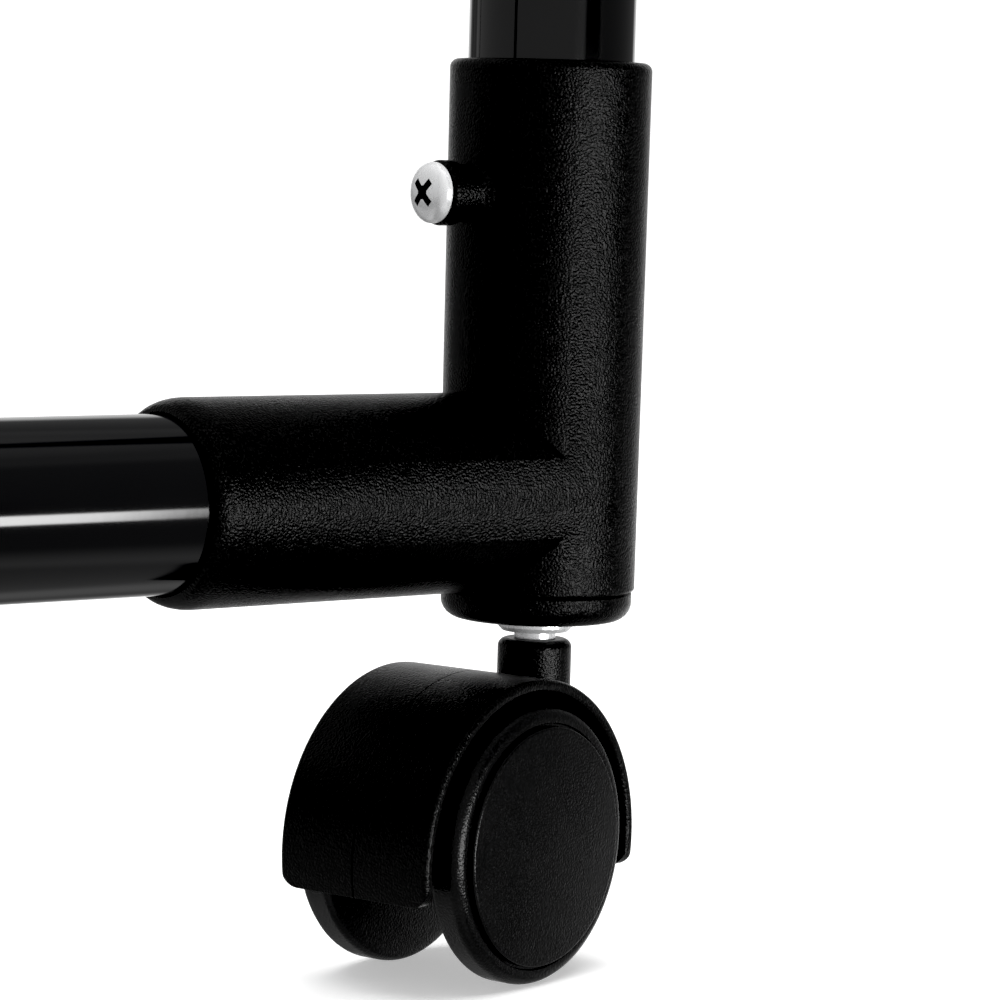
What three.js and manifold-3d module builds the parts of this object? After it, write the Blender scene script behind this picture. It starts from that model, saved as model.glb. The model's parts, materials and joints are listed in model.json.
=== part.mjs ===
// Rolling clothes rack with two hanging rails on telescoping uprights and four twin-wheel casters.
// Millimetres. X runs along the rails, Y front to back, +Z up. The origin is on the floor, midway
// between the four casters.

import * as THREE from 'three';
import { mergeVertices } from 'three/addons/utils/BufferGeometryUtils.js';
import Module from 'manifold-3d';

const wasm = await Module();
wasm.setup();

// Driving dimensions.
const uprightSpacing = 1040;       // between upright axes, along the rails
const frameDepth = 440;            // between upright axes, front to back
const baseHeight = 90;             // axis of the side base tubes above the floor
const fitGap = 0.3;                // clearance left between pieces that touch
const overrun = 1;                 // how far a cutter runs past the face that it cuts
const roundSides = 20;             // sides of every tube and sleeve
const smallSides = 12;             // sides of screws, stems and axles

const side = { outer: 16.2, wall: 1.2 };                               // side base tube
const lower = { outer: 15.8, wall: 1.2, top: 860 };                    // lower upright tube
const inner = { outer: 14, wall: 1, bottom: 410, top: 1500 };          // telescoping upright tube
const rail = { outer: 14, wall: 1, height: 1524 };                     // hanging rail
const bar = { outer: 12.7, wall: 1, spacing: 104 };                    // long base bar

const corner = {
  radius: 18.8, topRadius: 19.2, mouthRadius: 19.05,                   // sleeves, with moulding draft
  top: 81.5, bottom: -18.9, mouth: 87,                                 // from the crossing of the axes
  rim: 1.6, lipDepth: 1.9, lipLength: 5,                               // rounded edges
  tubeStop: 20,                                                        // end of the side tube's socket
};
const boss = {
  height: 56.2, collar: 6.1, neck: 5.6, root: 15.8, from: 23.4, to: 26.8, hole: 2.8, holeFrom: 10,
};
const screw = { headRadius: 5.7, headHeight: 2.9, rim: 0.7, crown: 3.4, shank: 2.5 };
const plug = { radius: 18.4, top: -19.2, bottom: -24.7, spigot: 15.7, spigotTop: -4, bore: 4.3, round: 2.2 };
const stem = { thread: 3.9, threadTop: -8, flange: 7.2, flangeTop: -25, flangeBottom: -27.1, pin: 3.6 };

const wheelAxis = 26;              // height of the caster's axle, and half the wheel's height
const caster = {
  trail: 21.8,                     // from the swivel axis back to the axle
  yaw: 14.5,                       // how far each caster stands turned at rest, degrees
  hoodRadius: 32.4, hoodDrop: 1.5, hoodHalf: 17.2, hoodWall: 2.4, hoodEdge: 8,
  webHalf: 4, collarRadius: 7.1, collarTop: -28.6, collarBottom: -54,
  pinBottom: -50, pinBore: 3.9, axle: 2.3, axleBore: 2.6, axleHalf: 16.5,
  hoodSteps: 16, pocketSteps: 12, pocketDrop: 4,                       // the pocket is open below
};
const wheelSides = 20;
const wheel = {
  tread: wheelAxis / Math.cos(Math.PI / wheelSides),                   // so that a flat rests on the floor
  hub: 7, innerFace: 12, bandFrom: 14.2, bandTo: 17.4, face: 19.3, disc: 21.2,
  innerEdge: 1.8, shoulder: 1, faceEdge: 3.6, discEdge: 4.6,           // all measured in from the tread
};

const tee = { outer: 19, arm: 15.6, half: 26, reach: 48, barFrom: 24 };
const lock = { radius: 20, topRadius: 17.5, innerGap: 0.5, bottom: 812, step: 861, top: 884, ribs: 8 };
const rib = { depth: 1.6, width: 2.4, length: 34, middle: 24 };        // middle is above the lock's bottom
const elbow = { outer: 16.8, drop: 52, reach: 52, railFrom: 24 };

const plastic = { color: 0x141414, roughness: 0.62, metalness: 0 };
const glossPaint = { color: 0x0b0b0c, roughness: 0.18, metalness: 0.1 };
const satinPaint = { color: 0x101011, roughness: 0.35, metalness: 0.1 };
const zinc = { color: 0xc9cbcd, roughness: 0.25, metalness: 1 };
const steel = { color: 0x9a9c9e, roughness: 0.35, metalness: 1 };

const rack = new THREE.Group();

// A closed geometry becomes a solid that can be joined and cut.
function toSolid(geometry) {
  geometry.deleteAttribute('normal');
  geometry.deleteAttribute('uv');
  const merged = mergeVertices(geometry, 1e-3);
  const index = merged.index.array;
  const triangles = [];
  for (let i = 0; i < index.length; i += 3) {
    const [a, b, c] = [index[i], index[i + 1], index[i + 2]];
    if (a !== b && b !== c && c !== a) triangles.push(a, b, c);
  }
  const vertProperties = Float32Array.from(merged.attributes.position.array);
  const triVerts = Uint32Array.from(triangles);
  return new wasm.Manifold(new wasm.Mesh({ numProp: 3, vertProperties, triVerts }));
}

// A solid becomes a named mesh in the rack, or in the given group.
function addPiece(name, solid, finish, group = rack) {
  const mesh = solid.getMesh();
  const geometry = new THREE.BufferGeometry();
  geometry.setAttribute('position', new THREE.BufferAttribute(Float32Array.from(mesh.vertProperties), 3));
  geometry.setIndex(new THREE.BufferAttribute(Uint32Array.from(mesh.triVerts), 1));
  geometry.computeVertexNormals();
  const piece = new THREE.Mesh(geometry, new THREE.MeshStandardMaterial(finish));
  piece.name = name;
  group.add(piece);
}

// Revolves an outline of [radius, height] points about Z. The outline runs so that its left side is solid.
function revolve(outline, sides = roundSides) {
  const points = outline.map(([radius, height]) => new THREE.Vector2(radius, height));
  const geometry = new THREE.LatheGeometry(points, sides);
  geometry.rotateX(Math.PI / 2);
  geometry.rotateZ(Math.PI / sides);
  return toSolid(geometry);
}

function rod(radius, from, to, sides = roundSides) {
  return revolve([[0, from], [radius, from], [radius, to], [0, to]], sides);
}

function ring(innerRadius, outerRadius, from, to) {
  return revolve([
    [innerRadius, from], [outerRadius, from], [outerRadius, to], [innerRadius, to], [innerRadius, from],
  ]);
}

// Turns a solid that stands on Z so that it lies along -Y, X or -X.
const alongBack = (solid) => solid.rotate([90, 0, 0]);
const alongRight = (solid) => solid.rotate([0, 90, 0]);
const alongLeft = (solid) => solid.rotate([0, -90, 0]);

function tubeAlong(turn, tube, from, to) {
  return turn(ring(tube.outer - tube.wall, tube.outer, from, to));
}

// Extrudes a side outline of [y, z] points over a width centred on X, or between two values of X.
function plate(outline, from, to) {
  const shape = new THREE.Shape(outline.map(([y, z]) => new THREE.Vector2(y, z)));
  const geometry = new THREE.ExtrudeGeometry(shape, { depth: to - from, bevelEnabled: false });
  geometry.translate(0, 0, from);
  geometry.rotateX(Math.PI / 2);
  geometry.rotateZ(Math.PI / 2);
  return toSolid(geometry);
}

// Corner connector: an upright sleeve and a level sleeve of equal diameter, with a screw boss.
function cornerConnector() {
  const upright = revolve([
    [0, corner.bottom], [corner.radius, corner.bottom], [corner.topRadius, corner.top - corner.rim],
    [corner.topRadius - corner.rim, corner.top], [0, corner.top],
  ]);
  const level = alongBack(revolve([
    [0, 0], [corner.radius, 0], [corner.mouthRadius, corner.mouth - corner.lipLength],
    [corner.mouthRadius - corner.lipDepth, corner.mouth], [0, corner.mouth],
  ]));
  const screwBoss = alongBack(revolve([
    [0, boss.root], [boss.neck, boss.root], [boss.neck, boss.from],
    [boss.collar, boss.from], [boss.collar, boss.to], [0, boss.to],
  ], smallSides)).translate([0, 0, boss.height]);
  const uprightBore = rod(lower.outer + fitGap, corner.bottom - overrun, corner.top + overrun);
  const levelBore = alongBack(rod(side.outer + fitGap, corner.tubeStop, corner.mouth + overrun));
  const screwHole = alongBack(rod(boss.hole, boss.holeFrom, boss.to + overrun, smallSides))
    .translate([0, 0, boss.height]);
  return upright.add(level).add(screwBoss).subtract(uprightBore).subtract(levelBore).subtract(screwHole);
}

// Clamp screw: truss head outside the boss, shank through it to the tube.
function clampScrew() {
  const head = boss.to + fitGap;
  return alongBack(revolve([
    [0, lower.outer + fitGap], [screw.shank, lower.outer + fitGap], [screw.shank, head],
    [screw.headRadius, head], [screw.headRadius, head + screw.rim],
    [screw.crown, head + screw.headHeight], [0, head + screw.headHeight],
  ], smallSides)).translate([0, 0, boss.height]);
}

// End plug: a cap under the corner with a spigot up its bore and a hole for the caster stem.
function endPlug() {
  return revolve([
    [plug.bore, plug.bottom], [plug.radius - plug.round, plug.bottom],
    [plug.radius, plug.bottom + plug.round], [plug.radius, plug.top], [plug.spigot, plug.top],
    [plug.spigot, plug.spigotTop], [plug.bore, plug.spigotTop], [plug.bore, plug.bottom],
  ]);
}

// Caster stem: thread up into the plug, a flange under it, and the swivel pin in the hood's collar.
function casterStem() {
  return revolve([
    [0, caster.pinBottom], [stem.pin, caster.pinBottom], [stem.pin, stem.flangeBottom],
    [stem.flange, stem.flangeBottom], [stem.flange, stem.flangeTop], [stem.thread, stem.flangeTop],
    [stem.thread, stem.threadTop], [0, stem.threadTop],
  ], smallSides);
}

// Side outline of the hood: an arc over the wheels, closed level below the axle.
function hoodOutline(radius, lowest, steps) {
  const centre = wheelAxis - caster.hoodDrop;
  const low = Math.asin((lowest - centre) / radius);
  const points = [];
  for (let i = 0; i <= steps; i += 1) {
    const angle = low + (Math.PI - 2 * low) * (i / steps);
    points.push([radius * Math.cos(angle) - caster.trail, centre + radius * Math.sin(angle)]);
  }
  return points;
}

// Caster hood: arched shell, middle web that holds the axle, and the collar that the stem turns in.
function casterHood() {
  const lowest = wheelAxis - caster.hoodEdge;
  const pocketRadius = caster.hoodRadius - caster.hoodWall;
  const pocketOutline = hoodOutline(pocketRadius, lowest - caster.pocketDrop, caster.pocketSteps);
  const collarTop = baseHeight + caster.collarTop;
  const collar = rod(caster.collarRadius, baseHeight + caster.collarBottom, collarTop, smallSides);
  const boreFrom = baseHeight + caster.pinBottom - overrun;
  const bore = rod(caster.pinBore, boreFrom, collarTop + overrun, smallSides);
  const axleHole = alongRight(rod(caster.axleBore, -caster.hoodHalf, caster.hoodHalf, smallSides))
    .translate([0, -caster.trail, wheelAxis]);
  return plate(hoodOutline(caster.hoodRadius, lowest, caster.hoodSteps), -caster.hoodHalf, caster.hoodHalf)
    .subtract(plate(pocketOutline, caster.webHalf, caster.hoodHalf + overrun))
    .subtract(plate(pocketOutline, -caster.hoodHalf - overrun, -caster.webHalf))
    .add(collar)
    .subtract(bore)
    .subtract(axleHole);
}

// Wheel with a domed outer disc, a hub that runs up to the web and a blind bore for the axle.
// Its level axis is Z here, with the outer face up.
function casterWheel() {
  const boreEnd = caster.axleHalf + overrun;
  const hubFace = caster.webHalf + 2 * fitGap;
  return revolve([
    [0, boreEnd], [caster.axleBore, boreEnd], [caster.axleBore, hubFace], [wheel.hub, hubFace],
    [wheel.hub, wheel.innerFace], [wheel.tread - wheel.innerEdge, wheel.innerFace],
    [wheel.tread, wheel.bandFrom],
    [wheel.tread, wheel.bandTo], [wheel.tread - wheel.shoulder, wheel.face],
    [wheel.tread - wheel.faceEdge, wheel.face], [wheel.tread - wheel.discEdge, wheel.disc], [0, wheel.disc],
  ], wheelSides);
}

function teeConnector() {
  const sleeve = alongBack(rod(tee.outer, -tee.half, tee.half));
  const arm = alongLeft(rod(tee.arm, 0, tee.reach));
  const sideBore = alongBack(rod(side.outer + fitGap, -tee.half - overrun, tee.half + overrun));
  const barBore = alongLeft(rod(bar.outer + fitGap, tee.barFrom - fitGap, tee.reach + overrun));
  return sleeve.add(arm).subtract(sideBore).subtract(barBore);
}

// Twist-lock collar: wide below over the lower tube, narrow above round the inner tube, ribbed outside.
function lockCollar() {
  const body = revolve([
    [lower.outer + fitGap, lock.bottom], [lock.radius, lock.bottom], [lock.radius, lock.step],
    [lock.topRadius, lock.top], [inner.outer + lock.innerGap, lock.top],
    [inner.outer + lock.innerGap, lock.step],
    [lower.outer + fitGap, lock.step], [lower.outer + fitGap, lock.bottom],
  ]);
  const ribs = [];
  for (let i = 0; i < lock.ribs; i += 1) {
    const grip = new THREE.BoxGeometry(rib.depth, rib.width, rib.length);
    grip.translate(lock.radius, 0, lock.bottom + rib.middle);
    grip.rotateZ((i / lock.ribs) * 2 * Math.PI);
    ribs.push(toSolid(grip));
  }
  return ribs.reduce((joined, grip) => joined.add(grip), body);
}

function topElbow() {
  const drop = rod(elbow.outer, -elbow.drop, 0);
  const reach = alongLeft(rod(elbow.outer, 0, elbow.reach));
  const upward = rod(elbow.outer, -elbow.outer, elbow.outer);
  const crown = upward.intersect(alongLeft(upward));
  const tubeBore = rod(inner.outer + fitGap, -elbow.drop - overrun, inner.top - rail.height + fitGap);
  const railBore = alongLeft(rod(rail.outer + fitGap, elbow.railFrom, elbow.reach + overrun));
  return drop.add(reach).add(crown).subtract(tubeBore).subtract(railBore);
}

const cornerPiece = cornerConnector();
const screwPiece = clampScrew();
const plugPiece = endPlug();
const stemPiece = casterStem();
const hoodPiece = casterHood();
const wheelPiece = casterWheel();
const axlePiece = alongRight(rod(caster.axle, -caster.axleHalf, caster.axleHalf, smallSides));
const teePiece = teeConnector();
const lockPiece = lockCollar();
const elbowPiece = topElbow();

const halfLength = uprightSpacing / 2;
const halfDepth = frameDepth / 2;

// Each caster stands turned by the yaw, its wheels trailing in under the frame.
function addCaster(place, x, y, turn) {
  const group = new THREE.Group();
  group.position.set(x, y, 0);
  group.rotation.z = THREE.MathUtils.degToRad(turn + caster.yaw);
  rack.add(group);
  const rightWheel = alongRight(wheelPiece).translate([0, -caster.trail, wheelAxis]);
  const leftWheel = alongLeft(wheelPiece).translate([0, -caster.trail, wheelAxis]);
  addPiece(`caster_stem_${place}`, stemPiece.translate([0, 0, baseHeight]), zinc, group);
  addPiece(`caster_hood_${place}`, hoodPiece, plastic, group);
  addPiece(`caster_axle_${place}`, axlePiece.translate([0, -caster.trail, wheelAxis]), steel, group);
  addPiece(`wheel_a_${place}`, rightWheel, plastic, group);
  addPiece(`wheel_b_${place}`, leftWheel, plastic, group);
}

for (const [yName, ySign, turn] of [['back', 1, 0], ['front', -1, 180]]) {
  for (const [xName, xSign] of [['left', -1], ['right', 1]]) {
    const place = `${yName}_${xName}`;
    const x = xSign * halfLength;
    const y = ySign * halfDepth;
    const atCorner = (solid) => solid.rotate([0, 0, turn]).translate([x, y, baseHeight]);
    addPiece(`corner_connector_${place}`, atCorner(cornerPiece), plastic);
    addPiece(`clamp_screw_${place}`, atCorner(screwPiece), zinc);
    addPiece(`end_plug_${place}`, atCorner(plugPiece), plastic);
    addCaster(place, x, y, turn);
    const lowerBottom = baseHeight + plug.spigotTop + fitGap;
    const tube = ring(lower.outer - lower.wall, lower.outer, lowerBottom, lower.top);
    addPiece(`lower_upright_${place}`, tube.translate([x, y, 0]), satinPaint);
    addPiece(`twist_lock_${place}`, lockPiece.translate([x, y, 0]), plastic);
    const innerTube = ring(inner.outer - inner.wall, inner.outer, inner.bottom, inner.top);
    addPiece(`inner_upright_${place}`, innerTube.translate([x, y, 0]), satinPaint);
    const inwardTurn = xSign > 0 ? 0 : 180;
    const inward = (solid) => solid.rotate([0, 0, inwardTurn]);
    addPiece(`top_elbow_${place}`, inward(elbowPiece).translate([x, y, rail.height]), plastic);
    const teeY = ySign * (bar.spacing / 2);
    addPiece(`tee_connector_${place}`, inward(teePiece).translate([x, teeY, baseHeight]), plastic);
  }
  const railHalf = halfLength - elbow.railFrom - fitGap;
  const railTube = tubeAlong(alongRight, rail, -railHalf, railHalf);
  addPiece(`hanging_rail_${yName}`, railTube.translate([0, ySign * halfDepth, rail.height]), glossPaint);
  const barHalf = halfLength - tee.barFrom;
  const barTube = tubeAlong(alongRight, bar, -barHalf, barHalf);
  addPiece(`base_bar_${yName}`, barTube.translate([0, ySign * (bar.spacing / 2), baseHeight]), glossPaint);
}

for (const [xName, xSign] of [['left', -1], ['right', 1]]) {
  const sideHalf = halfDepth - corner.tubeStop - fitGap;
  const sideTube = tubeAlong(alongBack, side, -sideHalf, sideHalf);
  addPiece(`side_base_tube_${xName}`, sideTube.translate([xSign * halfLength, 0, baseHeight]), glossPaint);
}

export default rack;
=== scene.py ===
import json
import math

import bmesh
import bpy
from mathutils import Matrix, Vector

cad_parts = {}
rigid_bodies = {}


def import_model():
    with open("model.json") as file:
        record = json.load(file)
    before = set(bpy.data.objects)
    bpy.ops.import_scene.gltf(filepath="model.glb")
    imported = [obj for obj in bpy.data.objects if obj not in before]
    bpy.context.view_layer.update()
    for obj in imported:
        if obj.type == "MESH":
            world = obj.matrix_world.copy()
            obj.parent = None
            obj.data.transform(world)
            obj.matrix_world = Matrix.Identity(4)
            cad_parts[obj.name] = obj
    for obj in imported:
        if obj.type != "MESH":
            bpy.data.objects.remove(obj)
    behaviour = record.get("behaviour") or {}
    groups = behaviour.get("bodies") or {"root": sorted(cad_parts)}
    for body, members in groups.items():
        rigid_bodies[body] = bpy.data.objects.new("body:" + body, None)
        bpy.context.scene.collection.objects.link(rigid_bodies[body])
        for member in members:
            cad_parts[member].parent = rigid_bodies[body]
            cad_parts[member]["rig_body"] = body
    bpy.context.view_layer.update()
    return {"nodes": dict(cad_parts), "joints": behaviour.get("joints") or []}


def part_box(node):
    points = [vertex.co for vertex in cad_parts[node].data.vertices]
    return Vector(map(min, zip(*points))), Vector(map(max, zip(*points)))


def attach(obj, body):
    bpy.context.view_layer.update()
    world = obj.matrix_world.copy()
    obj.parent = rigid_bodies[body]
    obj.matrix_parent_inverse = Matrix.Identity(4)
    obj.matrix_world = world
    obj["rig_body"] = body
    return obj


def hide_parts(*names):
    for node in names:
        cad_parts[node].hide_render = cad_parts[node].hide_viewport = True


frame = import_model()

places = ["back_left", "back_right", "front_left", "front_right"]


def mm(value):
    return value / 1000


def middle(node):
    low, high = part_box(node)
    return (low + high) / 2


baseHeight = middle("side_base_tube_right").z * 1000
railHeight = middle("hanging_rail_back").z * 1000
wheelHeight = middle("wheel_a_back_right").z * 1000
backRight = middle("lower_upright_back_right")
crossing = Vector((backRight.x, backRight.y, mm(baseHeight)))


# picking and shaping

def only(piece):
    bpy.ops.object.select_all(action="DESELECT")
    piece.select_set(True)
    bpy.context.view_layer.objects.active = piece


def openEdit(piece, part="FACE"):
    only(piece)
    bpy.ops.object.mode_set(mode="EDIT")
    bpy.ops.mesh.select_mode(type=part)
    bpy.ops.mesh.select_all(action="DESELECT")


def closeEdit():
    bpy.ops.object.mode_set(mode="OBJECT")


def pick(piece, parts, test):
    mesh = bmesh.from_edit_mesh(piece.data)
    for part in getattr(mesh, parts):
        part.select_set(test(part))
    mesh.select_flush_mode()
    bmesh.update_edit_mesh(piece.data)


def edgeMiddle(edge):
    return (edge.verts[0].co + edge.verts[1].co) / 2 * 1000


def isSharp(edge, angle=35):
    return len(edge.link_faces) == 2 and edge.calc_face_angle() > math.radians(angle)


holdWidth = 0.12      # mm of straight face kept beside each arc, so that long faces shade straight


def softCorners(corners, steps=5):
    # corners are (radius, height) or (radius, height, rounding); a rounding becomes an arc
    points = []
    for i, corner in enumerate(corners):
        here = Vector(corner[:2])
        if len(corner) < 3:
            points.append(here)
            continue
        toLast = Vector(corners[i - 1][:2]) - here
        toNext = Vector(corners[i + 1][:2]) - here
        back = toLast.normalized()
        ahead = toNext.normalized()
        half = back.angle(ahead) / 2
        reach = corner[2] / math.tan(half)
        centre = here + (back + ahead).normalized() * corner[2] / math.sin(half)
        start = here + back * reach - centre
        end = here + ahead * reach - centre
        if toLast.length > reach + 1:
            points.append(here + back * (reach + holdWidth))
        for k in range(steps + 1):
            points.append(centre + start.lerp(end, k / steps).normalized() * corner[2])
        if toNext.length > reach + 1:
            points.append(here + ahead * (reach + holdWidth))
    return points


def turnPiece(name, corners, sides=96, steps=5):
    # draws half of the section point by point, then spins it round Z
    outline = [Vector((mm(x), 0, mm(z))) for x, z in softCorners(corners, steps)]
    bpy.ops.object.select_all(action="DESELECT")
    bpy.ops.mesh.primitive_plane_add(size=mm(1))
    piece = bpy.context.object
    piece.name = name
    bpy.ops.object.mode_set(mode="EDIT")
    bpy.ops.mesh.select_mode(type="VERT")
    bpy.ops.mesh.select_all(action="SELECT")
    bpy.ops.mesh.merge(type="CENTER")
    bpy.ops.transform.translate(value=outline[0])
    for last, point in zip(outline, outline[1:]):
        bpy.ops.mesh.extrude_vertices_move(TRANSFORM_OT_translate={"value": point - last})
    bpy.ops.mesh.select_all(action="SELECT")
    bpy.ops.mesh.spin(steps=sides, angle=math.tau, center=(0, 0, 0), axis=(0, 0, 1))
    bpy.ops.mesh.select_all(action="SELECT")
    bpy.ops.mesh.remove_doubles(threshold=mm(0.002))
    bpy.ops.mesh.normals_make_consistent(inside=False)
    closeEdit()
    return piece


def placePiece(piece, location=(0, 0, 0), turn=(0, 0, 0)):
    # location in mm and turn in degrees, both put into the mesh
    only(piece)
    piece.location = [mm(value) for value in location]
    piece.rotation_euler = [math.radians(value) for value in turn]
    bpy.ops.object.transform_apply(location=True, rotation=True, scale=True)
    return piece


alongBack = (90, 0, 0)       # what stood on +Z now points to -Y
alongRight = (0, 90, 0)
alongLeft = (0, -90, 0)


weldWidth = 0.004     # mm, points closer than this after a cut are one point


def combine(piece, other, operation):
    only(piece)
    step = piece.modifiers.new("combine", "BOOLEAN")
    step.operation = operation
    step.object = other
    step.solver = "EXACT"
    bpy.ops.object.modifier_apply(modifier=step.name)
    bpy.data.objects.remove(other, do_unlink=True)
    openEdit(piece, "VERT")
    bpy.ops.mesh.select_all(action="SELECT")
    bpy.ops.mesh.remove_doubles(threshold=mm(weldWidth))
    bpy.ops.mesh.dissolve_degenerate(threshold=mm(weldWidth))
    closeEdit()
    return piece


def makeDrill(radius, start, end, sides=96):
    return turnPiece("drill", [(0, start), (radius, start), (radius, end), (0, end)], sides)


def weigh(piece):
    # large faces keep their own direction where they run into a narrow rounding
    only(piece)
    step = piece.modifiers.new("weigh", "WEIGHTED_NORMAL")
    step.keep_sharp = True
    bpy.ops.object.modifier_apply(modifier=step.name)
    return piece


def smooth(piece, angle=32):
    only(piece)
    bpy.ops.object.shade_smooth_by_angle(angle=math.radians(angle))
    return piece


def copyPiece(piece, name, location, turn):
    only(piece)
    bpy.ops.object.duplicate(linked=False)
    copy = bpy.context.object
    copy.name = name
    return placePiece(copy, location, turn)


def box(name, size, location, turn=(0, 0, 0)):
    bpy.ops.object.select_all(action="DESELECT")
    bpy.ops.mesh.primitive_cube_add(size=1)
    piece = bpy.context.object
    piece.name = name
    piece.scale = [mm(value) for value in size]
    return placePiece(piece, location, turn)


# materials

def srgb(code):
    channels = [int(code[i:i + 2], 16) / 255 for i in (1, 3, 5)]
    return [c / 12.92 if c <= 0.04045 else ((c + 0.055) / 1.055) ** 2.4 for c in channels] + [1]


def addNode(tree, kind, settings=None, links=None):
    node = tree.nodes.new(kind)
    for key, value in (settings or {}).items():
        if isinstance(key, int) or key in node.inputs:
            node.inputs[key].default_value = value
        else:
            setattr(node, key, value)
    for key, source in (links or {}).items():
        tree.links.new(source, node.inputs[key])
    return node


def startMaterial(name):
    material = bpy.data.materials.new(name)
    material.use_nodes = True
    tree = material.node_tree
    tree.nodes.clear()
    place = addNode(tree, "ShaderNodeTexCoord").outputs["Object"]
    shader = addNode(tree, "ShaderNodeBsdfPrincipled")
    addNode(tree, "ShaderNodeOutputMaterial", links={"Surface": shader.outputs["BSDF"]})
    return material, tree, place, shader


def perMetre(size):
    return 1 / mm(size)      # texture scale for features of this size in mm


def dressShader(tree, shader, look, tintBy, roughBy, bumpBy):
    # colour, gloss and relief, each led by one pattern
    tint = addNode(tree, "ShaderNodeMix",
                   {"data_type": "RGBA", 6: srgb(look["dark"]), 7: srgb(look["light"])}, {0: tintBy})
    rough = addNode(tree, "ShaderNodeMapRange",
                    {1: 0.3, 2: 0.7, 3: look["smooth"], 4: look["rough"]}, {0: roughBy})
    bump = addNode(tree, "ShaderNodeBump",
                   {"Strength": 1.0, "Distance": mm(look["depth"])}, {"Height": bumpBy})
    tree.links.new(tint.outputs[2], shader.inputs["Base Color"])
    tree.links.new(rough.outputs[0], shader.inputs["Roughness"])
    tree.links.new(bump.outputs["Normal"], shader.inputs["Normal"])


def mouldedPlastic(name, look):
    # black thermoplastic out of a spark-eroded mould: dull, with pits that glint one by one in a highlight.
    # Real erosion grain is about 0.1 mm, too fine to show, so it is drawn about four times as coarse.
    material, tree, place, shader = startMaterial(name)
    grain = addNode(tree, "ShaderNodeTexNoise", {"Scale": perMetre(look["grain"]), "Detail": 0.6},
                    {"Vector": place})
    speck = addNode(tree, "ShaderNodeMapRange", {1: 0.5, 2: 0.72, 3: 0.0, 4: 1.0}, {0: grain.outputs["Fac"]})
    patches = addNode(tree, "ShaderNodeTexNoise", {"Scale": perMetre(look["patch"]), "Detail": 3.0},
                      {"Vector": place})
    shader.inputs["Specular IOR Level"].default_value = look["specular"]
    dressShader(tree, shader, look, speck.outputs[0], patches.outputs["Fac"], grain.outputs["Fac"])
    return material


def powderCoat(name, look):
    # black stoved powder on steel tube: a flowed skin with faint orange peel
    material, tree, place, shader = startMaterial(name)
    peel = addNode(tree, "ShaderNodeTexNoise", {"Scale": perMetre(look["peel"]), "Detail": 1.0},
                   {"Vector": place})
    cloud = addNode(tree, "ShaderNodeTexNoise", {"Scale": perMetre(look["cloud"]), "Detail": 2.0},
                    {"Vector": place})
    shader.inputs["Specular IOR Level"].default_value = 0.45
    dressShader(tree, shader, look, cloud.outputs["Fac"], cloud.outputs["Fac"], peel.outputs["Fac"])
    return material


def platedSteel(name, look):
    # bright or turned metal: a shiny skin over fine rolling or turning marks. Real marks are finer than
    # 0.1 mm, too fine to show, so they are drawn several times as coarse.
    material, tree, place, shader = startMaterial(name)
    marks = addNode(tree, "ShaderNodeTexNoise", {"Scale": perMetre(look["marks"]), "Detail": 3.0},
                    {"Vector": place})
    shader.inputs["Metallic"].default_value = look["metal"]
    dressShader(tree, shader, look, marks.outputs["Fac"], marks.outputs["Fac"], marks.outputs["Fac"])
    return material


erodedPolypropylene = mouldedPlastic("spark eroded polypropylene", {
    "dark": "#040404", "light": "#101010", "grain": 0.42, "patch": 14, "depth": 0.17,
    "smooth": 0.25, "rough": 0.31, "specular": 0.1})
hoodNylon = mouldedPlastic("moulded nylon hood", {
    "dark": "#040404", "light": "#101010", "grain": 0.4, "patch": 11, "depth": 0.14,
    "smooth": 0.26, "rough": 0.32, "specular": 0.14})
wheelNylon = mouldedPlastic("moulded nylon wheel", {
    "dark": "#050505", "light": "#0F0F10", "grain": 0.4, "patch": 9, "depth": 0.08,
    "smooth": 0.24, "rough": 0.3, "specular": 0.22})
glossCoat = powderCoat("gloss black powder coat", {
    "dark": "#060607", "light": "#09090A", "peel": 2.4, "cloud": 30, "depth": 0.002,
    "smooth": 0.07, "rough": 0.1})
satinCoat = powderCoat("satin black powder coat", {
    "dark": "#080808", "light": "#0B0B0C", "peel": 1.6, "cloud": 24, "depth": 0.002,
    "smooth": 0.05, "rough": 0.07})
# pale zinc plate, its colour painted near white and only partly metallic: a painted reflection of the bright
# studio, so that it reads almost white
zincPaintedSheen = platedSteel("bright zinc plate", {
    "dark": "#F6F7F8", "light": "#FDFDFE", "marks": 1.6, "depth": 0.004, "smooth": 0.22, "rough": 0.32,
    "metal": 0.4})
# the walls and floor of the punched recess get a near-black dull material: painted shade where light hardly
# reaches, so that it reads black
recessPaintedShade = platedSteel("punched steel recess", {
    "dark": "#0C0C0D", "light": "#1E1E20", "marks": 0.5, "depth": 0.01, "smooth": 0.5, "rough": 0.65,
    "metal": 0.2})
turnedSteel = platedSteel("turned steel", {
    "dark": "#8F9092", "light": "#A9AAAC", "marks": 0.6, "depth": 0.01, "smooth": 0.24, "rough": 0.36,
    "metal": 1.0})


def finishPiece(piece, node, material):
    piece.data.materials.append(material)
    body = frame["nodes"][node]["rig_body"]
    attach(piece, body)
    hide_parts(node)


# corner connector

cornerLook = {
    "radius": 18.8, "topRadius": 19.2, "mouthRadius": 19.05,     # moulding draft on both sleeves
    "top": 81.5, "bottom": -18.9, "mouth": 87,
    "rim": 1.6, "lipDepth": 2.5, "lipLength": 5.6,
    "uprightBore": 16.1, "levelBore": 16.5, "socketFrom": 20,
    "bossHeight": 56.2, "bossCollar": 6.1, "bossNeck": 5.4, "collarFrom": 23.4, "bossEnd": 26.8,
    "bossRoot": 12, "bossFlare": 1.2, "flareFrom": 18, "flareTo": 19.7,    # fillet where it leaves the sleeve
    "screwHole": 2.8, "holeFrom": 10, "beyond": 90,                          # cutters end well outside
}


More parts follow.
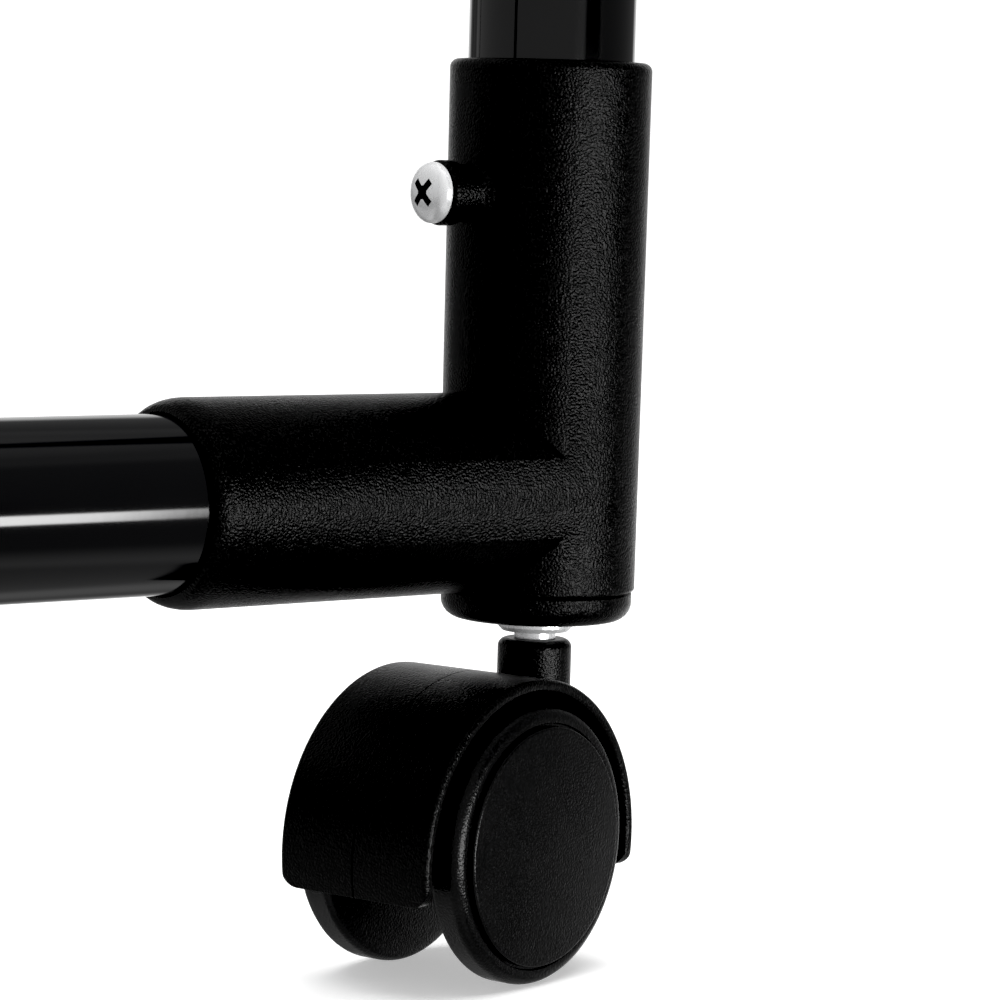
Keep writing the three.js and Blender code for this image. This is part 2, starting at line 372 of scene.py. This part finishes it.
def makeCorner():
    c = cornerLook
    piece = turnPiece("corner fitting", [
        (0, c["bottom"]), (c["radius"], c["bottom"], 0.5), (c["topRadius"], c["top"], c["rim"]),
        (0, c["top"])], 128)
    lip = []      # quarter of an ellipse, six steps from the sleeve round to the mouth
    for k in range(7):
        angle = math.radians(15 * k)
        lip.append((c["mouthRadius"] - c["lipDepth"] * (1 - math.cos(angle)),
                    c["mouth"] - c["lipLength"] * (1 - math.sin(angle))))
    level = turnPiece("level sleeve", [(0, 0), (c["radius"], 0)] + lip + [(0, c["mouth"])], 128)
    combine(piece, placePiece(level, turn=alongBack), "UNION")
    boss = turnPiece("boss", [
        (0, c["bossRoot"]), (c["bossNeck"] + c["bossFlare"] + 0.1, c["bossRoot"]),
        (c["bossNeck"] + c["bossFlare"], c["flareFrom"]), (c["bossNeck"], c["flareTo"], 1.2),
        (c["bossNeck"], c["collarFrom"], 0.15), (c["bossCollar"], c["collarFrom"], 0.3),
        (c["bossCollar"], c["bossEnd"], 0.9), (0, c["bossEnd"])], 64)
    combine(piece, placePiece(boss, (0, 0, c["bossHeight"]), alongBack), "UNION")
    combine(piece, makeDrill(c["uprightBore"], -c["beyond"], c["beyond"]), "DIFFERENCE")
    socket = makeDrill(c["levelBore"], c["socketFrom"], c["beyond"])
    combine(piece, placePiece(socket, turn=alongBack), "DIFFERENCE")
    hole = makeDrill(c["screwHole"], c["holeFrom"], c["beyond"], 32)
    combine(piece, placePiece(hole, (0, 0, c["bossHeight"]), alongBack), "DIFFERENCE")
    return smooth(piece)


# clamp screw

screwLook = {"head": 5.7, "rim": 0.7, "dome": 3.0, "shank": 2.5, "seat": 27.1, "tip": 16.1, "threads": 9,
             "threadDepth": 0.35, "tipTaper": 0.6, "plain": 0.6,
             "recess": 1.5, "reach": 6.9, "depth": 2.7, "heart": 1.6}


def makeScrew():
    s = screwLook
    dome = []
    for k in range(9):
        angle = math.radians(k * 10)
        dome.append((s["head"] * math.cos(angle) ** 0.8,
                     s["seat"] + s["rim"] + (s["dome"] - s["rim"]) * math.sin(angle)))
    root = s["shank"] - s["threadDepth"]
    threads = []
    pitch = (s["seat"] - s["tip"] - 2 * s["plain"]) / s["threads"]
    for k in range(s["threads"]):
        low = s["tip"] + s["plain"] + k * pitch
        threads += [(root, low), (s["shank"], low + pitch / 2)]
    piece = turnPiece("clamp screw", [(0, s["tip"]), (s["shank"] - s["tipTaper"], s["tip"])] + threads + [
        (root, s["seat"] - s["plain"]), (root, s["seat"]), (s["head"], s["seat"], 0.25)]
        + dome + [(0, s["seat"] + s["dome"])], 64)
    top = s["seat"] + s["dome"]
    for turn in (45, 135):
        slot = box("recess", (s["reach"], s["recess"], s["depth"] + 1), (0, 0, (1 - s["depth"]) / 2))
        openEdit(slot)
        pick(slot, "faces", lambda face: face.normal.z < -0.5)
        bpy.ops.transform.resize(value=(0.62, 0.85, 1), center_override=(0, 0, 0))
        closeEdit()
        combine(piece, placePiece(slot, (0, 0, top), (0, 0, turn)), "DIFFERENCE")
    heart = turnPiece("recess", [(0, top - s["depth"]), (0.6, top - s["depth"] + 0.3), (s["heart"], top + 1),
                                 (0, top + 1)], 20)
    combine(piece, heart, "DIFFERENCE")
    for face in piece.data.polygons:
        place = face.center * 1000
        inHead = place.z > s["seat"] + 0.1 and math.hypot(place.x, place.y) < s["reach"] / 2 + 0.1
        if inHead and (face.normal.z < 0.6 or place.z < top - 1.5):
            face.material_index = 1      # walls and floor of the recess take the second slot, its painted shade
    return smooth(placePiece(piece, (0, 0, cornerLook["bossHeight"]), alongBack), 40)


# end plug and caster stem

plugLook = {"radius": 18.3, "top": -19.25, "bottom": -24.7, "round": 3.6, "spigot": 15.7, "spigotTop": -4,
            "bore": 4.3}


def makePlug():
    p = plugLook
    return smooth(turnPiece("end plug", [
        (p["bore"], p["bottom"]), (p["radius"], p["bottom"], p["round"]), (p["radius"], p["top"], 0.3),
        (p["spigot"], p["top"]), (p["spigot"], p["spigotTop"], 0.8), (p["bore"], p["spigotTop"]),
        (p["bore"], p["bottom"])], 128, 8))


stemLook = {"thread": 3.9, "threadTop": -8, "pitch": 1.25, "threadDepth": 0.5, "flange": 7.2,
            "flangeTop": -25, "flangeBottom": -27.1, "neck": 4.0, "neckBottom": -28.5,
            "pin": 3.6, "pinBottom": -50}


def makeStem():
    s = stemLook
    turns = int((s["threadTop"] - s["flangeTop"] - 2) / s["pitch"])
    threads = []
    for k in range(turns):
        low = s["flangeTop"] + 1 + k * s["pitch"]
        threads += [(s["thread"] - s["threadDepth"], low), (s["thread"], low + s["pitch"] / 2)]
    return smooth(turnPiece("caster stem", [
        (0, s["pinBottom"]), (s["pin"], s["pinBottom"], 0.5), (s["pin"], s["neckBottom"]),
        (s["neck"], s["neckBottom"]), (s["neck"], s["flangeBottom"]), (s["flange"] - 0.8, s["flangeBottom"]),
        (s["flange"], s["flangeBottom"] + 0.8, 0.2), (s["flange"], s["flangeTop"] - 0.5, 0.2),
        (s["flange"] - 0.5, s["flangeTop"]), (s["thread"] - s["threadDepth"], s["flangeTop"])]
        + threads + [(s["thread"] - s["threadDepth"], s["threadTop"] - 0.8),
                     (s["thread"] - 1, s["threadTop"]), (0, s["threadTop"])], 64), 40)


# caster hood, axle and wheels

casterLook = {
    "trail": 21.8, "radius": 32.4, "drop": 1.5, "half": 17.2, "wall": 2.4, "edge": 8, "web": 4,
    "corner": 3.9, "rim": 0.95, "underEdge": 0.3, "grooveWidth": 0.3, "grooveDepth": 0.25,
    "collar": 7.1, "collarTop": -28.6, "collarFoot": -56, "pinBore": 3.9, "pinBottom": -50.3, "axle": 2.3,
    "axleBore": 2.6, "axleHalf": 16.5,
}


def makeHood():
    c = casterLook
    centre = wheelHeight - c["drop"]
    lowest = wheelHeight - c["edge"]
    bpy.ops.object.select_all(action="DESELECT")
    bpy.ops.mesh.primitive_cylinder_add(vertices=160, radius=mm(c["radius"]), depth=mm(2 * c["half"]))
    piece = placePiece(bpy.context.object, (0, -c["trail"], centre), alongRight)
    piece.name = "caster hood"
    openEdit(piece)
    for side in (1, -1):
        pick(piece, "faces", lambda face: face.normal.x * side > 0.9)
        bpy.ops.mesh.inset(thickness=mm(c["wall"]))
        bpy.ops.mesh.extrude_region_move(
            TRANSFORM_OT_translate={"value": (-side * mm(c["half"] - c["web"]), 0, 0)})
    bpy.ops.mesh.select_mode(type="EDGE")
    pick(piece, "edges", lambda edge: isSharp(edge) and abs(abs(edgeMiddle(edge).x) - c["half"]) < 0.01)
    bpy.ops.mesh.bevel(offset=mm(c["rim"]), segments=5, affect="EDGES")
    closeEdit()
    groove = turnPiece("groove", [
        (c["radius"] - c["grooveDepth"], -c["grooveWidth"] / 2), (c["radius"] + 2, -c["grooveWidth"] / 2),
        (c["radius"] + 2, c["grooveWidth"] / 2), (c["radius"] - c["grooveDepth"], c["grooveWidth"] / 2),
        (c["radius"] - c["grooveDepth"], -c["grooveWidth"] / 2)], 160)
    combine(piece, placePiece(groove, (0, -c["trail"], centre), alongRight), "DIFFERENCE")
    openEdit(piece)
    bpy.ops.mesh.select_all(action="SELECT")
    bpy.ops.mesh.bisect(plane_co=(0, 0, mm(lowest)), plane_no=(0, 0, 1), use_fill=True, clear_inner=True)
    closeEdit()
    reach = 4 * c["radius"]
    shell = box("rounded block", (2 * c["half"] + 0.02, reach, reach),
                (0, -c["trail"], lowest - 0.02 + reach / 2))
    openEdit(shell, "EDGE")
    pick(shell, "edges", lambda edge: abs(edgeMiddle(edge).z - lowest) < 1 and abs(edgeMiddle(edge).x) > 1)
    bpy.ops.mesh.bevel(offset=mm(c["corner"]), segments=8, affect="EDGES")
    closeEdit()
    combine(piece, shell, "INTERSECT")
    openEdit(piece, "EDGE")
    pick(piece, "edges", lambda edge: isSharp(edge, 50) and abs(edgeMiddle(edge).z - lowest) < 0.05)
    bpy.ops.mesh.bevel(offset=mm(c["underEdge"]), segments=2, affect="EDGES", clamp_overlap=True)
    closeEdit()
    collar = turnPiece("collar", [
        (0, baseHeight + c["collarFoot"]), (c["collar"], baseHeight + c["collarFoot"]),
        (c["collar"], baseHeight + c["collarTop"], 1.6), (0, baseHeight + c["collarTop"])], 60)
    combine(piece, collar, "UNION")
    combine(piece, makeDrill(c["pinBore"], baseHeight + c["pinBottom"], baseHeight, 48), "DIFFERENCE")
    hole = makeDrill(c["axleBore"], -c["half"], c["half"], 32)
    combine(piece, placePiece(hole, (0, -c["trail"], wheelHeight), alongRight), "DIFFERENCE")
    return weigh(smooth(piece))


def makeAxle():
    c = casterLook
    piece = turnPiece("caster axle", [
        (0, -c["axleHalf"]), (c["axle"], -c["axleHalf"], 0.4), (c["axle"], -6), (c["axle"] - 0.25, -5.7),
        (c["axle"] - 0.25, 5.7), (c["axle"], 6), (c["axle"], c["axleHalf"], 0.4), (0, c["axleHalf"])], 32)
    return smooth(placePiece(piece, (0, -c["trail"], wheelHeight), alongRight))


wheelLook = {"tread": 26, "hub": 7, "boreEnd": 17.5, "hubFace": 4.6, "inner": 12, "shoulder": 2.2,
             "face": 19.3, "grooveFrom": 23.0, "grooveTo": 22.4, "grooveFloor": 18.9,
             "discEdge": 20.3, "disc": 21.2}


def makeWheel(side):
    w = wheelLook
    dome = [(w["grooveTo"] * k / 6, w["discEdge"] + (w["disc"] - w["discEdge"]) * (1 - (k / 6) ** 2))
            for k in range(5, -1, -1)]
    piece = turnPiece("wheel", [
        (0, w["boreEnd"]), (casterLook["axleBore"], w["boreEnd"]), (casterLook["axleBore"], w["hubFace"]),
        (w["hub"], w["hubFace"], 0.4), (w["hub"], w["inner"]), (w["tread"] - 2.4, w["inner"]),
        (w["tread"], w["inner"] + 0.6, 1.4), (w["tread"], w["face"], w["shoulder"]),
        (w["grooveFrom"], w["face"], 0.2), (w["grooveFrom"] - 0.1, w["grooveFloor"]),
        (w["grooveTo"], w["grooveFloor"]), (w["grooveTo"], w["discEdge"], 0.5)] + dome, 128, 6)
    piece = placePiece(piece, (0, -casterLook["trail"], wheelHeight), alongRight if side > 0 else alongLeft)
    return smooth(piece, 28)


# tubes

def makeTube(name, outer, wall, start, end):
    return smooth(turnPiece(name, [
        (outer - wall, start), (outer, start, 0.3), (outer, end, 0.3), (outer - wall, end),
        (outer - wall, start)], 96, 3))


# tee, twist lock and elbow

teeLook = {"outer": 19, "arm": 15.6, "half": 26, "reach": 48, "sideBore": 16.5, "barBore": 13,
           "barFrom": 23.7,
           "round": 1.8}


def makeTee():
    t = teeLook
    piece = placePiece(turnPiece("tee", [
        (0, -t["half"]), (t["outer"], -t["half"], t["round"]), (t["outer"], t["half"], t["round"]),
        (0, t["half"])], 96), turn=alongBack)
    arm = turnPiece("arm", [(0, 0), (t["arm"], 0), (t["arm"], t["reach"], t["round"]), (0, t["reach"])], 96)
    combine(piece, placePiece(arm, turn=alongLeft), "UNION")
    sideBore = makeDrill(t["sideBore"], -2 * t["half"], 2 * t["half"])
    combine(piece, placePiece(sideBore, turn=alongBack), "DIFFERENCE")
    barBore = makeDrill(t["barBore"], t["barFrom"], 2 * t["reach"], 88)
    combine(piece, placePiece(barBore, turn=alongLeft), "DIFFERENCE")
    return smooth(piece)


lockLook = {"radius": 19.4, "bottom": 812, "step": 861, "top": 884, "lowerBore": 16.1, "upperBore": 14.5,
            "ribs": 20, "ribHeight": 34, "ribRadius": 1.25}


def makeLock():
    k = lockLook
    piece = turnPiece("twist lock", [
        (k["lowerBore"], k["bottom"]), (k["radius"], k["bottom"], 1.2), (k["radius"], k["step"], 3.0),
        (k["radius"] - 2.8, k["top"], 2.0), (k["upperBore"], k["top"]), (k["upperBore"], k["step"]),
        (k["lowerBore"], k["step"]), (k["lowerBore"], k["bottom"])], 96)
    for i in range(k["ribs"]):
        rib = turnPiece("rib", [(0, -k["ribHeight"] / 2), (k["ribRadius"], -k["ribHeight"] / 2 + 1.5, 0.8),
                                (k["ribRadius"], k["ribHeight"] / 2 - 1.5, 0.8),
                                (0, k["ribHeight"] / 2)], 12, 2)
        angle = math.tau * i / k["ribs"]
        place = (k["radius"] * math.cos(angle), k["radius"] * math.sin(angle), k["bottom"] + 24)
        combine(piece, placePiece(rib, place), "UNION")
    return smooth(piece)


elbowLook = {"outer": 16.8, "crown": 16.78, "drop": 52, "reach": 52, "tubeBore": 14.3, "railBore": 14.3,
             "tubeStop": 23.7,
             "round": 1.8}


def makeElbow():
    e = elbowLook
    piece = turnPiece("elbow", [
        (0, -e["drop"]), (e["outer"], -e["drop"], e["round"]), (e["outer"], 0), (0, 0)], 96)
    reach = turnPiece("reach", [
        (0, 0), (e["outer"], 0), (e["outer"], e["reach"], e["round"]), (0, e["reach"])], 96)
    combine(piece, placePiece(reach, turn=alongLeft), "UNION")
    crown = turnPiece("crown", [(0, -e["crown"]), (e["crown"], -e["crown"]), (e["crown"], e["crown"]),
                                (0, e["crown"])], 96)
    level = placePiece(copyPiece(crown, "level", (0, 0, 0), (0, 0, 0)), turn=alongLeft)
    combine(crown, level, "INTERSECT")
    combine(piece, crown, "UNION")
    combine(piece, makeDrill(e["tubeBore"], -2 * e["drop"], -e["tubeStop"]), "DIFFERENCE")
    railBore = makeDrill(e["railBore"], e["tubeStop"], 2 * e["reach"])
    combine(piece, placePiece(railBore, turn=alongLeft), "DIFFERENCE")
    return smooth(piece)


# building each kind once, then its copies

masters = {}
for name, make in [("corner_connector", makeCorner), ("clamp_screw", makeScrew), ("end_plug", makePlug),
                   ("caster_stem", makeStem), ("caster_hood", makeHood), ("caster_axle", makeAxle),
                   ("wheel_a", lambda: makeWheel(1)), ("wheel_b", lambda: makeWheel(-1)),
                   ("tee_connector", makeTee), ("twist_lock", makeLock), ("top_elbow", makeElbow)]:
    masters[name] = make()
    print("made", name, len(masters[name].data.polygons), "faces")

finishes = {
    "corner_connector": ("fittings_plastic", erodedPolypropylene),
    "end_plug": ("fittings_plastic", erodedPolypropylene),
    "tee_connector": ("fittings_plastic", erodedPolypropylene),
    "twist_lock": ("fittings_plastic", erodedPolypropylene),
    "top_elbow": ("fittings_plastic", erodedPolypropylene),
    "caster_hood": ("caster_plastic", hoodNylon),
    "wheel_a": ("wheel_plastic", wheelNylon),
    "wheel_b": ("wheel_plastic", wheelNylon),
    "clamp_screw": ("zinc_plated_steel", zincPaintedSheen),
    "caster_stem": ("zinc_plated_steel", zincPaintedSheen),
    "caster_axle": ("axle_steel", turnedSteel),
}
joints = {joint["name"]: joint for joint in frame["joints"]}

for place in places:
    post = middle("lower_upright_" + place)
    x = post.x * 1000
    y = post.y * 1000
    cornerTurn = 0 if y > 0 else 180
    inwardTurn = 0 if x > 0 else 180
    axis = joints["roll_a_" + place]["axis"]
    casterTurn = math.degrees(math.atan2(axis[1], axis[0]))
    spots = {
        "corner_connector": ((x, y, baseHeight), cornerTurn),
        "clamp_screw": ((x, y, baseHeight), cornerTurn),
        "end_plug": ((x, y, baseHeight), cornerTurn),
        "caster_stem": ((x, y, baseHeight), casterTurn),
        "caster_hood": ((x, y, 0), casterTurn),
        "caster_axle": ((x, y, 0), casterTurn),
        "wheel_a": ((x, y, 0), casterTurn),
        "wheel_b": ((x, y, 0), casterTurn),
        "tee_connector": ((x, middle("tee_connector_" + place).y * 1000, baseHeight), inwardTurn),
        "twist_lock": ((x, y, 0), 0),
        "top_elbow": ((x, y, railHeight), inwardTurn),
    }
    for kind, (spot, turn) in spots.items():
        node = kind + "_" + place
        piece = copyPiece(masters[kind], node.replace("_", "-"), spot, (0, 0, turn))
        slotName, material = finishes[kind]
        finishPiece(piece, node, material)
        if kind == "clamp_screw":
            # the second slot is the painted shade of the screw recess
            piece.data.materials.append(recessPaintedShade)
    print("placed the fittings at", place)

for piece in masters.values():
    bpy.data.objects.remove(piece, do_unlink=True)

tubeLook = {
    "lower_upright": {"outer": 15.8, "wall": 1.2, "slot": "satin_black_tube", "coat": satinCoat},
    "inner_upright": {"outer": 14, "wall": 1.0, "slot": "satin_black_tube", "coat": satinCoat},
    "side_base_tube": {"outer": 16.2, "wall": 1.2, "slot": "gloss_black_tube", "coat": glossCoat},
    "base_bar": {"outer": 12.7, "wall": 1.0, "slot": "gloss_black_tube", "coat": glossCoat},
    "hanging_rail": {"outer": 14, "wall": 1.0, "slot": "gloss_black_tube", "coat": glossCoat},
}
for node in sorted(frame["nodes"]):
    kind = next((name for name in tubeLook if node.startswith(name)), None)
    if kind is None:
        continue
    tube = tubeLook[kind]
    low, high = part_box(node)
    size = (high - low) * 1000
    run = max(range(3), key=lambda i: size[i])
    piece = makeTube(node.replace("_", "-"), tube["outer"], tube["wall"], -size[run] / 2, size[run] / 2)
    placePiece(piece, (high + low) * 500, (alongRight, alongBack, (0, 0, 0))[run])
    finishPiece(piece, node, tube["coat"])
print("drew the tubes")


# floor, light and camera

studioLook = {"floorSize": 4, "floorCentre": (0.3, 0, -0.0002), "floorGlow": 0.42, "backdrop": 1.2,
              "overheadPlace": (0.3, 0.1, 2.6), "overheadSize": (3.0, 2.4), "overheadPower": 110}

bpy.ops.object.select_all(action="DESELECT")
bpy.ops.mesh.primitive_plane_add(size=studioLook["floorSize"], location=studioLook["floorCentre"])
floor = bpy.context.object
floor.name = "studio floor"
paper, tree, place, shader = startMaterial("white paper sweep")
shader.inputs["Base Color"].default_value = srgb("#F4F4F4")
shader.inputs["Roughness"].default_value = 0.9
shader.inputs["Emission Color"].default_value = (1, 1, 1, 1)
shader.inputs["Emission Strength"].default_value = studioLook["floorGlow"]
floor.data.materials.append(paper)
floor.visible_glossy = False
floor.visible_diffuse = False
floor.visible_shadow = False

world = bpy.data.worlds.new("white studio")
bpy.context.scene.world = world
world.use_nodes = True
tree = world.node_tree
tree.nodes.clear()
direction = addNode(tree, "ShaderNodeTexCoord").outputs["Generated"]
split = addNode(tree, "ShaderNodeSeparateXYZ", links={0: direction})
azimuth = addNode(tree, "ShaderNodeMath", {"operation": "ARCTAN2"},
                  {0: split.outputs[1], 1: split.outputs[0]})
azimuth = addNode(tree, "ShaderNodeMath", {"operation": "DEGREES"}, {0: azimuth.outputs[0]})
height = addNode(tree, "ShaderNodeMath", {"operation": "ARCSINE"}, {0: split.outputs[2]})
height = addNode(tree, "ShaderNodeMath", {"operation": "DEGREES"}, {0: height.outputs[0]})

# each soft panel: azimuth and height of its centre, half sizes, soft edge, all in degrees, and brightness
panels = [
    {"azimuth": 14, "height": -5.4, "wide": 19.8, "high": 4.8, "soft": 1.2, "light": 20},
    {"azimuth": 0, "height": 90, "wide": 190, "high": 38, "soft": 7, "light": 0.34},
    {"azimuth": 0, "height": -90, "wide": 190, "high": 48, "soft": 8, "light": 0.3},
    {"azimuth": -80, "height": 0, "wide": 87, "high": 52, "soft": 3, "light": 0.45},
    {"azimuth": 113, "height": 0, "wide": 83, "high": 52, "soft": 3, "light": 0.17},
    {"azimuth": 141, "height": 2, "wide": 27, "high": 21, "soft": 5, "light": 0.9},
    {"azimuth": 111, "height": -17, "wide": 32, "high": 10, "soft": 6, "light": 0.65},
]
total = None
for panel in panels:
    fromCentre = addNode(tree, "ShaderNodeMath", {"operation": "SUBTRACT", 1: panel["azimuth"]},
                         {0: azimuth.outputs[0]})
    wrapped = addNode(tree, "ShaderNodeMath", {"operation": "WRAP", 1: 180.0, 2: -180.0},
                      {0: fromCentre.outputs[0]})
    across = addNode(tree, "ShaderNodeMath", {"operation": "ABSOLUTE"}, {0: wrapped.outputs[0]})
    above = addNode(tree, "ShaderNodeMath", {"operation": "SUBTRACT", 1: panel["height"]},
                    {0: height.outputs[0]})
    upDown = addNode(tree, "ShaderNodeMath", {"operation": "ABSOLUTE"}, {0: above.outputs[0]})
    edges = []
    for distance, half in ((across, panel["wide"]), (upDown, panel["high"])):
        edges.append(addNode(tree, "ShaderNodeMapRange", {
            "interpolation_type": "SMOOTHSTEP",
            1: half - panel["soft"], 2: half + panel["soft"], 3: 1.0, 4: 0.0},
            {0: distance.outputs[0]}))
    both = addNode(tree, "ShaderNodeMath", {"operation": "MULTIPLY"},
                   {0: edges[0].outputs[0], 1: edges[1].outputs[0]})
    glow = addNode(tree, "ShaderNodeMath", {"operation": "MULTIPLY", 1: panel["light"]}, {0: both.outputs[0]})
    total = glow if total is None else addNode(
        tree, "ShaderNodeMath", {"operation": "ADD"}, {0: total.outputs[0], 1: glow.outputs[0]})
studio = addNode(tree, "ShaderNodeBackground", {"Color": (1, 1, 1, 1)}, {"Strength": total.outputs[0]})
backdrop = addNode(tree, "ShaderNodeBackground", {"Color": (1, 1, 1, 1), "Strength": studioLook["backdrop"]})
rays = addNode(tree, "ShaderNodeLightPath")
choice = addNode(tree, "ShaderNodeMixShader", links={
    0: rays.outputs["Is Camera Ray"], 1: studio.outputs[0], 2: backdrop.outputs[0]})
addNode(tree, "ShaderNodeOutputWorld", links={"Surface": choice.outputs[0]})

# overhead soft panel that whitens the floor
bpy.ops.object.light_add(type="AREA", location=studioLook["overheadPlace"])
overhead = bpy.context.object
overhead.name = "overhead panel"
overhead.data.shape = "RECTANGLE"
overhead.data.size = studioLook["overheadSize"][0]
overhead.data.size_y = studioLook["overheadSize"][1]
overhead.data.energy = studioLook["overheadPower"]
overhead.visible_glossy = False
overhead.visible_camera = False

# the place is measured in mm from the crossing of the tube axes at the back right corner
cameraLook = {"place": (579.818, -474.317, 64.362), "right": (0.62328955, 0.7814869, 0.02807773),
              "up": (-0.08676051, 0.03342451, 0.99566833), "back": (0.77716327, -0.6230257, 0.08863535),
              "lens": 141.41, "sensor": 36}
camera = bpy.data.objects.new("camera", bpy.data.cameras.new("camera"))
bpy.context.scene.collection.objects.link(camera)
camera.data.lens = cameraLook["lens"]
camera.data.sensor_width = cameraLook["sensor"]
turn = Matrix([cameraLook["right"], cameraLook["up"], cameraLook["back"]]).transposed().to_4x4()
camera.matrix_world = Matrix.Translation(crossing + Vector(cameraLook["place"]) / 1000) @ turn
camera.data.clip_start = 0.05
bpy.context.scene.camera = camera

view = bpy.context.scene.view_settings
view.view_transform = "Standard"
view.use_curve_mapping = True
view.curve_mapping.black_level = (0.006, 0.006, 0.006)
